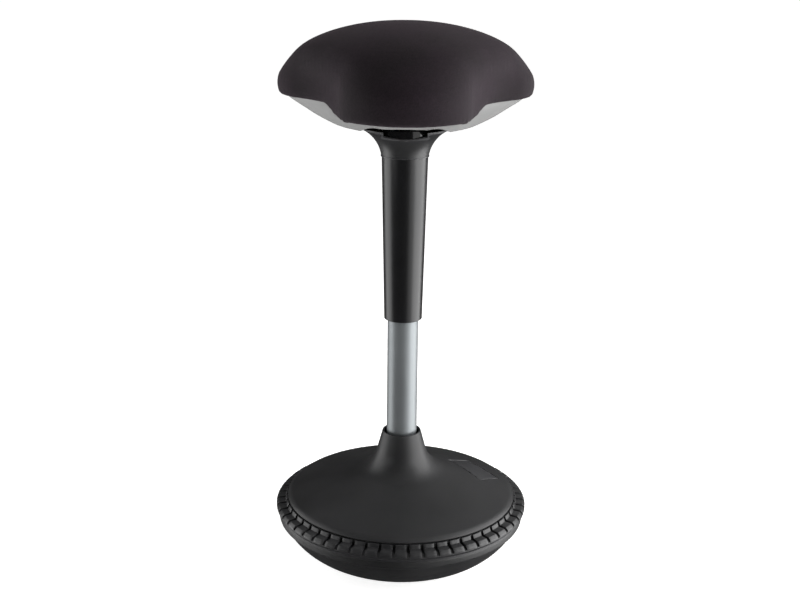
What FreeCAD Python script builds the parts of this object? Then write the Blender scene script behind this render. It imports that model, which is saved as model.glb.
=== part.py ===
import FreeCAD, Part
import math
import os

# Perch stool on a rocking foot. Millimetres, +Z up, the front of the seat towards -Y.
# The origin is on the column's axis, on the floor, in the middle of the foot's flat patch.

V = FreeCAD.Vector
UP = V(0, 0, 1)

# Driving dimensions of the base
base_r = 178.0
ring_low_z = 82.5
ring_top_z = 90.0
foot_flat_r = 45.0
foot_dome_r = 129.5
foot_dome_z = 21.9
foot_shoulder_r = 169.5
foot_shoulder_z = 64.0
foot_wall = 6.0
plate_z = 76.0
plate_t = 3.0
plate_r = 174.6
foot_screw_circle = 159.2
foot_screw_head_r = 3.6
lug_count = 56
slot_width = 4.2
first_slot = 3.6

# Driving dimensions of the domed cover
lip_r = 161.7
lip_z = 97.8
dome_inner_r = 66.0
dome_inner_z = 132.0
dome_outer_r = 154.0
dome_outer_z = 103.2
skirt_r = 155.0
neck_r = 26.9
neck_top_z = 192.0
neck_low_r = 34.2
neck_low_z = 165.2
cover_t = 2.6
cover_screw_circle = 120.0
panel_centre = (106.0, 34.0)
panel_size = (64.0, 42.0)
panel_turn = -46.0
panel_depth = 0.5

# Driving dimensions of the column, with the seat as the photograph shows it
tube_r = 21.2
tube_bore_r = 19.2
tube_foot_z = 52.0
tube_top_z = 440.0
cylinder_r = 14.0
cylinder_bore_r = 12.4
cylinder_foot_z = 240.0
cylinder_top_z = 631.0
taper_foot_z = 600.0
taper_top_r = 13.2
rod_r = 5.0
rod_end_r = 4.0
piston_z = 338.0
running_gap = 0.05

# Driving dimensions of the sleeve, the collar and the release trigger
sleeve_foot_z = 357.5
sleeve_top_z = 582.6
sleeve_foot_r = 26.0
sleeve_top_r = 31.0
sleeve_t = 2.2
collar_top_z = 619.0
collar_top_r = 58.0
collar_foot_slope = 82.0
collar_t = 2.6
window_half_width = 29.0
window_sill_z = 610.0
sill_drop = 4.0
trigger_r = 43.4
trigger_t = 3.0
trigger_half_width = 27.0
trigger_foot_z = 611.5
trigger_top_z = 621.0
trigger_leg_r = 29.5
pivot_y = -15.0
pivot_z = 641.0
pin_r = 2.0

# Driving dimensions of the seat
lobe_reach = 189.0
lobe_r = 84.0
hollow_reach = 122.5
hollow_r = 218.0
cushion_foot_z = 651.0
cushion_wide_z = 676.0
cushion_top_z = 758.0
cloth_t = 1.5
board_z = 658.0
board_t = 10.0
board_scale = 0.88
pan_foot_z = 615.0
pan_hole_r = 59.0
pan_t = 2.4
bracket_z = 628.0
bracket_t = 3.0
bracket_bolt_x = 66.0
bracket_bolt_y = 30.0


# Outlines, turned pieces and small hardware

def arc_end(start, slope, end):
    """Middle and end point of an arc that leaves start at this slope, in degrees."""
    dr = end[0] - start[0]
    dz = end[1] - start[1]
    length = math.hypot(dr, dz)
    half_turn = math.atan2(dz, dr) - math.radians(slope)
    rise = length / 2 * math.tan(half_turn / 2)
    middle = ((start[0] + end[0]) / 2 + dz / length * rise, (start[1] + end[1]) / 2 - dr / length * rise)
    return [middle, end]


def end_slope(start, slope, end):
    """Slope of the same arc at its end, in degrees."""
    return 2 * math.degrees(math.atan2(end[1] - start[1], end[0] - start[0])) - slope


def outline(points):
    """Face in the XZ plane. A pair of points in a list is the middle and the end of an arc."""
    edges = []
    here = points[0]
    for step in list(points[1:]) + [points[0]]:
        start = V(here[0], 0, here[1])
        if isinstance(step, list):
            middle, end = step
            edges.append(Part.Arc(start, V(middle[0], 0, middle[1]), V(end[0], 0, end[1])).toShape())
            here = end
        elif step != here:
            edges.append(Part.LineSegment(start, V(step[0], 0, step[1])).toShape())
            here = step
    return Part.Face(Part.Wire(edges))


def turned(points):
    return outline(points).revolve(V(0, 0, 0), UP, 360)


def rod(radius, low_z, high_z, x=0.0, y=0.0):
    return Part.makeCylinder(radius, high_z - low_z, V(x, y, low_z), UP)


def ring(outer_r, inner_r, low_z, high_z, x=0.0, y=0.0):
    return rod(outer_r, low_z, high_z, x, y).cut(rod(inner_r, low_z - 1, high_z + 1, x, y))


def box(x, y, z):
    """Block between two x, two y and two z values."""
    return Part.makeBox(x[1] - x[0], y[1] - y[0], z[1] - z[0], V(x[0], y[0], z[0]))


def hexagon(across_flats, low_z, high_z, x=0.0, y=0.0):
    corner_r = across_flats / math.sqrt(3)
    corners = []
    for i in range(7):
        turn = math.radians(60 * i)
        corners.append(V(x + corner_r * math.cos(turn), y + corner_r * math.sin(turn), low_z))
    return Part.Face(Part.makePolygon(corners)).extrude(V(0, 0, high_z - low_z))


def bolt_circle(radius, count, first=0.0):
    places = []
    for i in range(count):
        turn = math.radians(first + 360.0 * i / count)
        places.append((radius * math.cos(turn), radius * math.sin(turn)))
    return places


def pan_head(radius, height, z, x, y, down=False):
    """Low domed screw head with a cross recess. Its flat side is at z."""
    head = Part.makeCylinder(radius, height, V(x, y, z), UP)
    rim = max(head.Edges, key=lambda e: e.BoundBox.ZMin)
    head = head.makeFillet(height * 0.6, [rim])
    for size in ((radius, 1.0), (1.0, radius)):
        slot = box((x - size[0] / 2, x + size[0] / 2), (y - size[1] / 2, y + size[1] / 2),
                   (z + height * 0.45, z + height + 1))
        head = head.cut(slot)
    if down:
        head.rotate(V(x, y, z), V(1, 0, 0), 180)
    return head


def group(solids):
    return Part.makeCompound(solids)


nodes = {}


# Rubber foot: a thick bowl with a small flat patch, so that the stool stands and still rocks

def rubber_foot():
    dome_slope = 2 * math.degrees(math.atan2(foot_dome_z, foot_dome_r - foot_flat_r))
    shelf_r = 152.0
    inner_dome = (foot_dome_r - foot_wall * math.sin(math.radians(dome_slope)),
                  foot_dome_z + foot_wall * math.cos(math.radians(dome_slope)))
    inner_flank = (foot_shoulder_r - 8.0, foot_shoulder_z - 2.0)
    points = [
        (0.0, 0.0),
        (foot_flat_r, 0.0),
        arc_end((foot_flat_r, 0.0), 0.0, (foot_dome_r, foot_dome_z)),
        arc_end((foot_dome_r, foot_dome_z), dome_slope, (foot_shoulder_r, foot_shoulder_z)),
        (172.6, foot_shoulder_z + 1.0),
        (174.0, foot_shoulder_z + 2.6),
        (174.8, plate_z - 1.0),
        (174.0, plate_z),
        (shelf_r, plate_z),
        (shelf_r, inner_flank[1] + 5.0),
        inner_flank,
        arc_end(inner_flank, dome_slope + 202.0, inner_dome),
        arc_end(inner_dome, dome_slope + 180.0, (foot_flat_r, foot_wall)),
        (0.0, foot_wall),
    ]
    foot = turned(points)
    for x, y in bolt_circle(foot_screw_circle, 6, 30.0):
        foot = foot.cut(rod(2.0, plate_z - 8.0, plate_z, x, y))
    return foot


# Cast ballast with four bosses that hang it from the plate

socket_bolt_circle = 46.0
ballast_low_z = 13.0
ballast_top_z = 28.0


def ballast_weight():
    body = turned([
        (30.0, ballast_low_z),
        (62.0, ballast_low_z),
        (100.0, 22.0),
        (102.0, 24.0),
        (102.0, ballast_top_z - 2.0),
        (100.0, ballast_top_z),
        (30.0, ballast_top_z),
    ])
    for x, y in bolt_circle(socket_bolt_circle, 4, 45.0):
        body = body.fuse(rod(12.0, ballast_top_z - 4.0, plate_z, x, y))
    for x, y in bolt_circle(socket_bolt_circle, 4, 45.0):
        body = body.cut(rod(4.0, 48.0, plate_z + 1, x, y))
    return body.removeSplitter()


def base_plate():
    plate = turned([(26.5, plate_z), (plate_r, plate_z), (plate_r, plate_z + plate_t), (26.5, plate_z + plate_t)])
    for x, y in bolt_circle(socket_bolt_circle, 4, 45.0):
        plate = plate.cut(rod(4.2, plate_z - 1, plate_z + plate_t + 1, x, y))
    for x, y in bolt_circle(cover_screw_circle, 6):
        plate = plate.cut(rod(2.2, plate_z - 1, plate_z + plate_t + 1, x, y))
    for x, y in bolt_circle(foot_screw_circle, 6, 30.0):
        plate = plate.cut(rod(2.2, plate_z - 1, plate_z + plate_t + 1, x, y))
    return plate


plate_top_z = plate_z + plate_t


def foot_screws():
    screws = []
    for x, y in bolt_circle(foot_screw_circle, 6, 30.0):
        shank = rod(2.0, plate_z - 8.0, plate_top_z, x, y)
        screws.append(shank.fuse(pan_head(foot_screw_head_r, 2.6, plate_top_z, x, y)))
    return group(screws)


# Tread ring: rubber, with a short upstand under the cover's lip and radial slots between its lugs

def tread_ring():
    body = turned([
        (163.0, plate_top_z),
        (175.6, plate_top_z),
        (base_r - 0.8, ring_low_z - 1.2),
        (base_r, ring_low_z),
        (base_r, ring_top_z - 3.6),
        (174.4, ring_top_z),
        (165.4, ring_top_z + 0.6),
        (163.6, lip_z - 2.4),
        (158.0, lip_z - 2.4),
        (158.0, plate_top_z + 6.0),
        (163.0, plate_top_z + 6.0),
    ])
    wedge = outline([
        (161.2, lip_z),
        (161.2, ring_top_z - 2.6),
        (171.5, ring_top_z - 3.0),
        (base_r + 2.0, ring_low_z + 0.4),
        (base_r + 2.0, lip_z),
    ]).extrude(V(0, slot_width, 0))
    wedge.translate(V(0, -slot_width / 2, 0))
    slots = []
    for i in range(lug_count):
        slot = wedge.copy()
        slot.rotate(V(0, 0, 0), UP, first_slot + 360.0 * i / lug_count)
        slots.append(slot)
    return body.cut(group(slots))


# Domed cover with its flared neck, a bare sunk panel and six screw bosses inside

def base_cover():
    neck_low = (neck_low_r, neck_low_z)
    dome_start = (dome_inner_r, dome_inner_z)
    dome_end = (dome_outer_r, dome_outer_z)
    neck_slope = math.degrees(math.atan2(neck_low_z - neck_top_z, neck_low_r - neck_r))
    dome_slope = end_slope(neck_low, neck_slope, dome_start)
    lip_slope = end_slope(dome_start, dome_slope, dome_end)
    inner_neck = (neck_low_r - cover_t, neck_low_z - 1.0)
    inner_dome = (dome_inner_r - 1.0, dome_inner_z - 2.4)
    inner_edge = (skirt_r - 2.0, dome_outer_z - 2.4)
    lip = (lip_r, lip_z - 0.4)
    points = [
        (neck_r - 1.0, neck_top_z),
        [(neck_r - 0.3, neck_top_z - 0.3), (neck_r, neck_top_z - 1.0)],
        neck_low,
        arc_end(neck_low, neck_slope, dome_start),
        arc_end(dome_start, dome_slope, dome_end),
        arc_end(dome_end, lip_slope, lip),
        (lip_r - 0.9, lip_z - 2.2),
        (157.4, lip_z - 2.2),
        (skirt_r, lip_z - 3.6),
        (skirt_r, plate_top_z),
        (skirt_r - 2.0, plate_top_z),
        inner_edge,
        inner_dome,
        arc_end(inner_dome, dome_slope + 180.0, inner_neck),
        (neck_r - cover_t, neck_top_z),
    ]
    shell = turned(points)
    for x, y in bolt_circle(cover_screw_circle, 6):
        shell = shell.fuse(rod(4.6, plate_top_z, 111.0, x, y))
    for x, y in bolt_circle(cover_screw_circle, 6):
        shell = shell.cut(rod(2.0, plate_top_z - 1, 102.0, x, y))
    panel_start = (dome_inner_r, dome_inner_z - panel_depth)
    skin = turned([
        (dome_inner_r, dome_inner_z + 6.0),
        panel_start,
        arc_end(panel_start, dome_slope, (dome_outer_r, dome_outer_z - panel_depth)),
        (dome_outer_r, dome_outer_z + 36.0),
    ])
    panel = box((-panel_size[0] / 2, panel_size[0] / 2), (-panel_size[1] / 2, panel_size[1] / 2), (90.0, 150.0))
    panel.rotate(V(0, 0, 0), UP, panel_turn)
    panel.translate(V(panel_centre[0], panel_centre[1], 0))
    return shell.cut(panel.common(skin))


def cover_screws():
    screws = []
    for x, y in bolt_circle(cover_screw_circle, 6):
        shank = rod(2.0, plate_z, 101.0, x, y)
        screws.append(shank.fuse(pan_head(3.8, 2.6, plate_z, x, y, down=True)))
    return group(screws)


# Socket that holds the column tube, bolted through the plate into the ballast

socket_flange_t = 4.0


def column_socket():
    socket = turned([
        (17.0, tube_foot_z - 6.0),
        (26.0, tube_foot_z - 6.0),
        (26.0, plate_top_z),
        (60.0, plate_top_z),
        (60.0, plate_top_z + socket_flange_t - 1.0),
        (59.0, plate_top_z + socket_flange_t),
        (32.0, plate_top_z + socket_flange_t),
        [(27.8, 84.8), (26.0, 89.0)],
        (25.4, 126.0),
        (tube_r, 126.0),
        (tube_r, tube_foot_z),
        (17.0, tube_foot_z),
    ])
    for x, y in bolt_circle(socket_bolt_circle, 4, 45.0):
        socket = socket.cut(rod(4.2, plate_top_z - 1, plate_top_z + socket_flange_t + 1, x, y))
    return socket


def socket_bolts():
    bolts = []
    head_z = plate_top_z + socket_flange_t + 1.6
    for x, y in bolt_circle(socket_bolt_circle, 4, 45.0):
        shank = rod(4.0, 50.0, head_z, x, y)
        bolts.append(shank.fuse(hexagon(13.0, head_z, head_z + 5.3, x, y)))
    return group(bolts)


def socket_washers():
    low = plate_top_z + socket_flange_t
    return group([ring(8.0, 4.0, low, low + 1.6, x, y) for x, y in bolt_circle(socket_bolt_circle, 4, 45.0)])


nodes["rubber_foot"] = rubber_foot()
nodes["ballast_weight"] = ballast_weight()
nodes["base_plate"] = base_plate()
nodes["foot_screws"] = foot_screws()
nodes["tread_ring"] = tread_ring()
nodes["base_cover"] = base_cover()
nodes["cover_screws"] = cover_screws()
nodes["column_socket"] = column_socket()
nodes["socket_bolts"] = socket_bolts()
nodes["socket_washers"] = socket_washers()


# Column tube, its end cap and the long bushing that guides the gas cylinder

cap_t = 6.0
cap_top_z = tube_foot_z + cap_t
race_t = 2.0
ball_r = 1.6
ball_gap = 3.3
ball_circle = 9.5
ball_count = 10
ball_z = cap_top_z + race_t + ball_gap / 2
upper_race_z = cap_top_z + race_t + ball_gap
shoulder_z = upper_race_z + race_t
bushing_foot_z = 360.0
bushing_flange_t = 3.0

nodes["column_tube"] = turned([
    (tube_bore_r, tube_foot_z),
    (tube_r, tube_foot_z),
    (tube_r, tube_top_z),
    (tube_bore_r, tube_top_z),
])
nodes["guide_bushing"] = turned([
    (cylinder_r + running_gap, bushing_foot_z + 1.5),
    (cylinder_r + running_gap + 1.5, bushing_foot_z),
    (tube_bore_r, bushing_foot_z),
    (tube_bore_r, tube_top_z),
    (tube_r, tube_top_z),
    (tube_r - 0.8, tube_top_z + bushing_flange_t),
    (cylinder_r + running_gap, tube_top_z + bushing_flange_t),
])
nodes["tube_end_cap"] = ring(tube_bore_r, rod_end_r + 0.1, tube_foot_z, cap_top_z)
nodes["lower_race"] = ring(14.0, rod_end_r + 0.4, cap_top_z, cap_top_z + race_t)


# Thrust bearing's balls in their cage

ball_places = bolt_circle(ball_circle, ball_count)
cage = ring(13.0, 6.0, ball_z - 0.7, ball_z + 0.7)
for x, y in ball_places:
    cage = cage.cut(rod(ball_r + 0.1, ball_z - 2, ball_z + 2, x, y))
nodes["bearing_cage"] = cage
nodes["bearing_balls"] = group([Part.makeSphere(ball_r, V(x, y, ball_z)) for x, y in ball_places])


# Piston rod, which turns with the seat and stays at one height

rod_foot_z = 45.0
clip_z = 49.0
clip_t = 1.2
rod_top_z = 356.0
piston_t = 12.0

nodes["upper_race"] = ring(14.0, rod_end_r, upper_race_z, upper_race_z + race_t)
nodes["piston_rod"] = turned([
    (0.0, rod_foot_z),
    (rod_end_r - 0.6, rod_foot_z),
    (rod_end_r, rod_foot_z + 0.6),
    (rod_end_r, clip_z),
    (rod_end_r - 0.8, clip_z),
    (rod_end_r - 0.8, clip_z + clip_t),
    (rod_end_r, clip_z + clip_t),
    (rod_end_r, shoulder_z),
    (8.0, shoulder_z),
    (8.0, shoulder_z + 3.0),
    (rod_r, shoulder_z + 3.0),
    (rod_r, piston_z),
    (3.5, piston_z),
    (3.5, rod_top_z),
    (0.0, rod_top_z),
])
clip = ring(7.5, rod_end_r - 0.8, clip_z, clip_z + clip_t)
nodes["rod_clip"] = clip.cut(box((-2.6, 2.6), (-9.0, 0.0), (clip_z - 1, clip_z + clip_t + 1)))
nodes["clip_washer"] = ring(8.0, rod_end_r, clip_z + clip_t, clip_z + clip_t + 1.2)
nodes["travel_bumper"] = turned([
    (rod_r, shoulder_z + 3.0),
    (10.5, shoulder_z + 3.0),
    (11.5, shoulder_z + 8.0),
    (10.5, 83.6),
    (rod_r, 83.6),
])
piston = ring(12.3, 3.5, piston_z, piston_z + piston_t)
nodes["piston"] = piston.cut(ring(13.0, 11.0, piston_z + 4.5, piston_z + 7.5))
nodes["piston_ring"] = ring(12.3, 11.0, piston_z + 4.5, piston_z + 7.5)
nodes["piston_nut"] = hexagon(11.0, piston_z + piston_t, piston_z + piston_t + 4.0).cut(rod(3.5, piston_z, rod_top_z + 1))


# Gas cylinder with its guide, its glide ring and the valve in its tapered top

bore_top_z = 588.0
valve_r = 6.0
button_r = 2.0

nodes["gas_cylinder"] = turned([
    (cylinder_bore_r, cylinder_foot_z),
    (cylinder_r, cylinder_foot_z),
    (cylinder_r, taper_foot_z),
    (taper_top_r, cylinder_top_z),
    (valve_r, cylinder_top_z),
    (valve_r, bore_top_z),
    (cylinder_bore_r, bore_top_z),
])
nodes["rod_guide"] = ring(cylinder_bore_r, rod_r + running_gap, cylinder_foot_z, cylinder_foot_z + 22.0)
nodes["glide_ring"] = ring(tube_bore_r - 0.1, cylinder_r, cylinder_foot_z, cylinder_foot_z + 14.0)
nodes["valve_body"] = ring(valve_r, button_r + running_gap, bore_top_z, cylinder_top_z - 1.0)
nodes["valve_button"] = rod(button_r, bore_top_z + 12.0, 634.0).fuse(turned([
    (0.0, 634.0),
    (4.0, 634.0),
    (4.0, 635.6),
    (3.2, 636.5),
    (0.0, 636.5),
])).removeSplitter()


# Tapered sleeve that covers the tube and moves with the seat

nodes["tapered_sleeve"] = turned([
    (sleeve_foot_r - sleeve_t, sleeve_foot_z),
    (sleeve_foot_r - 1.2, sleeve_foot_z),
    [(sleeve_foot_r - 0.35, sleeve_foot_z + 0.35), (sleeve_foot_r, sleeve_foot_z + 1.2)],
    (sleeve_top_r, sleeve_top_z),
    (sleeve_top_r - sleeve_t, sleeve_top_z),
])


# Flared collar with the window for the trigger, three screw bosses and a spigot inside the sleeve

collar_boss_circle = 36.0
collar_bosses = [(collar_boss_circle, 0.0), (0.0, collar_boss_circle), (-collar_boss_circle, 0.0)]


def collar():
    low = (sleeve_top_r + 0.6, sleeve_top_z)
    top = (collar_top_r, collar_top_z)
    inner_top = (collar_top_r - collar_t, collar_top_z)
    inner_slope = end_slope(low, collar_foot_slope, top) + 181.0
    body = turned([
        (sleeve_top_r - sleeve_t - 2.6, 566.0),
        (sleeve_top_r - sleeve_t - 0.4, 566.0),
        (sleeve_top_r - sleeve_t - 0.1, sleeve_top_z),
        low,
        arc_end(low, collar_foot_slope, top),
        inner_top,
        arc_end(inner_top, inner_slope, (sleeve_top_r - sleeve_t - 1.0, sleeve_top_z + 3.0)),
    ])
    for x, y in collar_bosses:
        body = body.fuse(rod(4.4, 604.5, bracket_z, x, y))
    for x, y in collar_bosses:
        body = body.cut(rod(1.8, 612.0, bracket_z + 1, x, y))
    sill_r = (window_half_width ** 2 + sill_drop ** 2) / (2 * sill_drop)
    sill = Part.makeCylinder(sill_r, 60.0, V(0, -75.0, window_sill_z + sill_r), V(0, 1, 0))
    window = sill.common(box((-window_half_width, window_half_width), (-75.0, -31.0), (window_sill_z - 1, 640.0)))
    return body.cut(window)


nodes["collar"] = collar()


# Seat bracket: a pressed steel channel with the taper socket welded through its web

bracket_half_y = 42.0
web_half_x = 43.0
flange_half_x = 82.0
bracket_bolt_places = []
for x in (-bracket_bolt_x, bracket_bolt_x):
    for y in (-bracket_bolt_y, bracket_bolt_y):
        bracket_bolt_places.append((x, y))


def seat_bracket():
    along = (-bracket_half_y, bracket_half_y)
    body = box((-web_half_x, web_half_x), along, (bracket_z, bracket_z + bracket_t))
    for side in (-1, 1):
        wall_x = sorted((side * (web_half_x - bracket_t), side * web_half_x))
        flange_x = sorted((side * (web_half_x - bracket_t), side * flange_half_x))
        body = body.fuse(box(wall_x, along, (bracket_z, board_z)))
        body = body.fuse(box(flange_x, along, (board_z - bracket_t, board_z)))
    body = body.removeSplitter()
    body = body.cut(rod(19.0, bracket_z - 1, bracket_z + bracket_t + 1))
    body = body.cut(box((-10.0, 10.0), (-36.0, -21.5), (bracket_z - 1, bracket_z + bracket_t + 1)))
    for x, y in collar_bosses:
        body = body.cut(rod(2.0, bracket_z - 1, bracket_z + bracket_t + 1, x, y))
    for x, y in bracket_bolt_places:
        body = body.cut(rod(3.2, board_z - bracket_t - 1, board_z + 1, x, y))
    return body


nodes["seat_bracket"] = seat_bracket()
nodes["taper_socket"] = turned([
    (cylinder_r, taper_foot_z),
    (19.0, taper_foot_z),
    (19.0, bracket_z + bracket_t),
    (taper_top_r, cylinder_top_z),
])


def collar_screws():
    screws = []
    for x, y in collar_bosses:
        shank = rod(1.8, 613.0, bracket_z + bracket_t, x, y)
        screws.append(shank.fuse(pan_head(3.6, 2.4, bracket_z + bracket_t, x, y)))
    return group(screws)


nodes["collar_screws"] = collar_screws()


# Release trigger: a round finger pull in the collar's window, on a leg that rises through the bracket

ear_x = 20.0
ear_t = 2.5


def pivot_ears():
    ears = []
    for side in (-1, 1):
        ear = box(sorted((side * ear_x, side * (ear_x + ear_t))), (pivot_y - 6.0, pivot_y + 6.0),
                  (bracket_z + bracket_t, pivot_z + 5.0))
        ears.append(ear.cut(Part.makeCylinder(pin_r, 60.0, V(-30.0, pivot_y, pivot_z), V(1, 0, 0))))
    return group(ears)


def pivot_pin():
    half = ear_x + ear_t
    pin = Part.makeCylinder(pin_r, 2 * half + 1.5, V(-half - 1.5, pivot_y, pivot_z), V(1, 0, 0))
    head = Part.makeCylinder(3.2, 1.5, V(half, pivot_y, pivot_z), V(1, 0, 0))
    return pin.fuse(head)


def release_trigger():
    pull = ring(trigger_r, trigger_r - trigger_t, trigger_foot_z, trigger_top_z)
    pull = pull.common(box((-trigger_half_width, trigger_half_width), (-50.0, -20.0), (trigger_foot_z, trigger_top_z)))
    shelf_z = trigger_top_z - 2.5
    shelf = ring(trigger_r - 0.5, trigger_leg_r - trigger_t, shelf_z, trigger_top_z)
    shelf = shelf.common(box((-14.0, 14.0), (-50.0, -20.0), (shelf_z, trigger_top_z)))
    leg_top_z = pivot_z - 1.0
    leg = ring(trigger_leg_r, trigger_leg_r - trigger_t, shelf_z, leg_top_z)
    leg = leg.common(box((-8.0, 8.0), (-40.0, -20.0), (shelf_z, leg_top_z)))
    reach_y = -27.4
    reach = Part.makePolygon([
        V(-7.0, reach_y, pivot_z - 7.0),
        V(-7.0, pivot_y + 1.0, pivot_z - 2.0),
        V(-7.0, pivot_y, pivot_z + 3.0),
        V(-7.0, reach_y, pivot_z - 1.6),
        V(-7.0, reach_y, pivot_z - 7.0),
    ])
    reach = Part.Face(reach).extrude(V(14.0, 0, 0))
    barrel = Part.makeCylinder(4.0, 28.0, V(-14.0, pivot_y, pivot_z), V(1, 0, 0))
    arm = box((-5.0, 5.0), (pivot_y, 5.0), (pivot_z - 3.6, pivot_z - 0.4))
    whole = pull.fuse([shelf, leg, reach, barrel, arm])
    bore = Part.makeCylinder(pin_r + running_gap, 60.0, V(-30.0, pivot_y, pivot_z), V(1, 0, 0))
    return whole.cut(bore).removeSplitter()


def trigger_spring():
    wire_r = 0.5
    coil_r = 3.4
    start_x = 14.8
    helix = Part.makeHelix(1.15, 4.6, coil_r)
    section = Part.Wire(Part.makeCircle(wire_r, V(coil_r, 0, 0), V(0, 1, 0)))
    coil = Part.Wire(helix).makePipeShell([section], True, True)
    coil.rotate(V(0, 0, 0), V(0, 1, 0), 90)
    coil.translate(V(start_x, pivot_y, pivot_z))
    return coil


nodes["pivot_ears"] = pivot_ears()
nodes["pivot_pin"] = pivot_pin()
nodes["release_trigger"] = release_trigger()
nodes["trigger_spring"] = trigger_spring()


# Plan of the seat: three round lobes joined by hollow sides

lobe_centre = lobe_reach - lobe_r
hollow_centre = hollow_reach + hollow_r


def plan_radius(azimuth):
    """Distance from the axis to the seat's edge. The azimuth is in degrees from the front."""
    from_lobe = abs((azimuth + 60.0) % 120.0 - 60.0)
    turn = math.radians(from_lobe)
    hollow_x = hollow_centre * 0.5 - lobe_centre
    hollow_y = hollow_centre * math.sin(math.radians(60.0))
    reach = math.hypot(hollow_x, hollow_y)
    joint = math.atan2(lobe_r * hollow_y / reach, lobe_centre + lobe_r * hollow_x / reach)
    if turn < joint:
        across = lobe_centre * math.sin(turn)
        return lobe_centre * math.cos(turn) + math.sqrt(lobe_r ** 2 - across ** 2)
    away = math.radians(60.0) - turn
    across = hollow_centre * math.sin(away)
    return hollow_centre * math.cos(away) - math.sqrt(hollow_r ** 2 - across ** 2)


def level(z, radius_at):
    """Closed smooth wire at height z, through the radius at each azimuth from the front."""
    points = []
    for i in range(36):
        azimuth = 10.0 * i
        radius = radius_at(azimuth)
        turn = math.radians(azimuth - 90.0)
        points.append(V(radius * math.cos(turn), radius * math.sin(turn), z))
    curve = Part.BSplineCurve()
    curve.interpolate(Points=points, PeriodicFlag=True)
    return Part.Wire(curve.toShape())


def prism(z_low, z_high, radius_at):
    return Part.Face(level(z_low, radius_at)).extrude(V(0, 0, z_high - z_low))


def cushion(inset):
    """Crowned body of the cushion, this far inside the cloth's outer face."""
    roundness = 0.1
    rise = cushion_top_z - cushion_wide_z
    skirt = [(cushion_foot_z, 5.0), (656.5, 3.4), (662.0, 2.0), (668.0, 0.8)]
    if inset > 0:
        skirt = [(board_z, 3.0), (662.0, 2.0), (668.0, 0.8)]
    wires = []
    for z, tuck in skirt:
        wires.append(level(z, lambda a, tuck=tuck: plan_radius(a) - tuck - inset))
    for step in range(9):
        climb = math.radians(10.6 * step)
        fill = roundness * math.sin(climb) ** 2
        wires.append(level(
            cushion_wide_z + (rise - inset) * math.sin(climb),
            lambda a, climb=climb, fill=fill: math.cos(climb)
            * (plan_radius(a) + fill * (lobe_reach - plan_radius(a)) - inset)))
    return Part.makeLoft(wires, True, False)


# Ply board, foam and cloth cover

t_nut_flange_t = 1.5
pan_screw_places = [(135.0, -90.0, 645.0), (135.0, 30.0, 640.0), (135.0, 150.0, 640.0)]


def pan_screw_xy(place):
    turn = math.radians(place[1])
    return place[0] * math.cos(turn), place[0] * math.sin(turn)


def seat_board():
    board = prism(board_z, board_z + board_t, lambda a: plan_radius(a) * board_scale)
    for x, y in bracket_bolt_places:
        board = board.cut(rod(4.5, board_z - 1, board_z + board_t + 1, x, y))
        board = board.cut(rod(9.0, board_z + board_t - t_nut_flange_t, board_z + board_t + 1, x, y))
    for place in pan_screw_places:
        x, y = pan_screw_xy(place)
        board = board.cut(rod(2.0, board_z - 1, board_z + 7.0, x, y))
    return board


def t_nuts():
    nuts = []
    high = board_z + board_t
    for x, y in bracket_bolt_places:
        barrel = ring(4.5, 3.0, board_z, high, x, y)
        nuts.append(barrel.fuse(ring(9.0, 3.0, high - t_nut_flange_t, high, x, y)))
    return group(nuts)


def bracket_bolts():
    bolts = []
    head_z = board_z - bracket_t - 1.5
    for x, y in bracket_bolt_places:
        shank = rod(3.0, head_z, board_z + board_t - 1.0, x, y)
        bolts.append(shank.fuse(hexagon(10.0, head_z - 4.0, head_z, x, y)))
    return group(bolts)


def bracket_washers():
    high = board_z - bracket_t
    return group([ring(6.0, 3.0, high - 1.5, high, x, y) for x, y in bracket_bolt_places])


def seat_foam():
    pocket = prism(board_z - 1, board_z + board_t, lambda a: plan_radius(a) * board_scale)
    return cushion(cloth_t).cut(pocket)


def seat_cover():
    hem_t = 1.4
    shell = cushion(0.0).cut(cushion(cloth_t))
    below_hem = prism(cushion_foot_z - 1, board_z - hem_t, lambda a: plan_radius(a) - 7.9)
    hem_mouth = prism(cushion_foot_z - 1, board_z + 0.5, lambda a: plan_radius(a) * 0.78)
    return shell.cut(below_hem).cut(hem_mouth)


nodes["seat_board"] = seat_board()
nodes["t_nuts"] = t_nuts()
nodes["bracket_bolts"] = bracket_bolts()
nodes["bracket_washers"] = bracket_washers()
nodes["seat_foam"] = seat_foam()
nodes["seat_cover"] = seat_cover()


# Seat pan: a moulded bowl, shallow at the front so that a finger reaches the trigger

pan_levels = [
    (pan_foot_z, 0.390, 0.190),
    (618.5, 0.500, 0.215),
    (624.0, 0.585, 0.260),
    (633.0, 0.690, 0.490),
    (643.0, 0.785, 0.770),
    (652.0, 0.872, 0.900),
    (656.0, 0.905, 0.910),
]


def pan_body(lift, inset):
    wires = []
    for z, rear, front in pan_levels:
        def radius_at(azimuth, rear=rear, front=front):
            share = ((1 + math.cos(math.radians(azimuth))) / 2) ** 5
            return plan_radius(azimuth) * (rear + (front - rear) * share) - inset
        wires.append(level(z + lift, radius_at))
    return Part.makeLoft(wires, True, False)


def seat_pan():
    outer = pan_body(0.0, 0.0)
    shell = outer.cut(pan_body(pan_t, pan_t * 0.7))
    for place in pan_screw_places:
        x, y = pan_screw_xy(place)
        boss = rod(5.5, pan_foot_z, board_z, x, y)
        below = rod(6.5, pan_foot_z - 1, pan_levels[-1][0] - 1.0, x, y).cut(outer)
        shell = shell.fuse(boss.cut(below))
    shell = shell.cut(rod(pan_hole_r, pan_foot_z - 10, 632.0))
    for place in pan_screw_places:
        x, y = pan_screw_xy(place)
        shell = shell.cut(rod(2.0, pan_foot_z, board_z + 1, x, y))
        shell = shell.cut(rod(4.2, pan_foot_z, place[2], x, y))
    return shell


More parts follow.
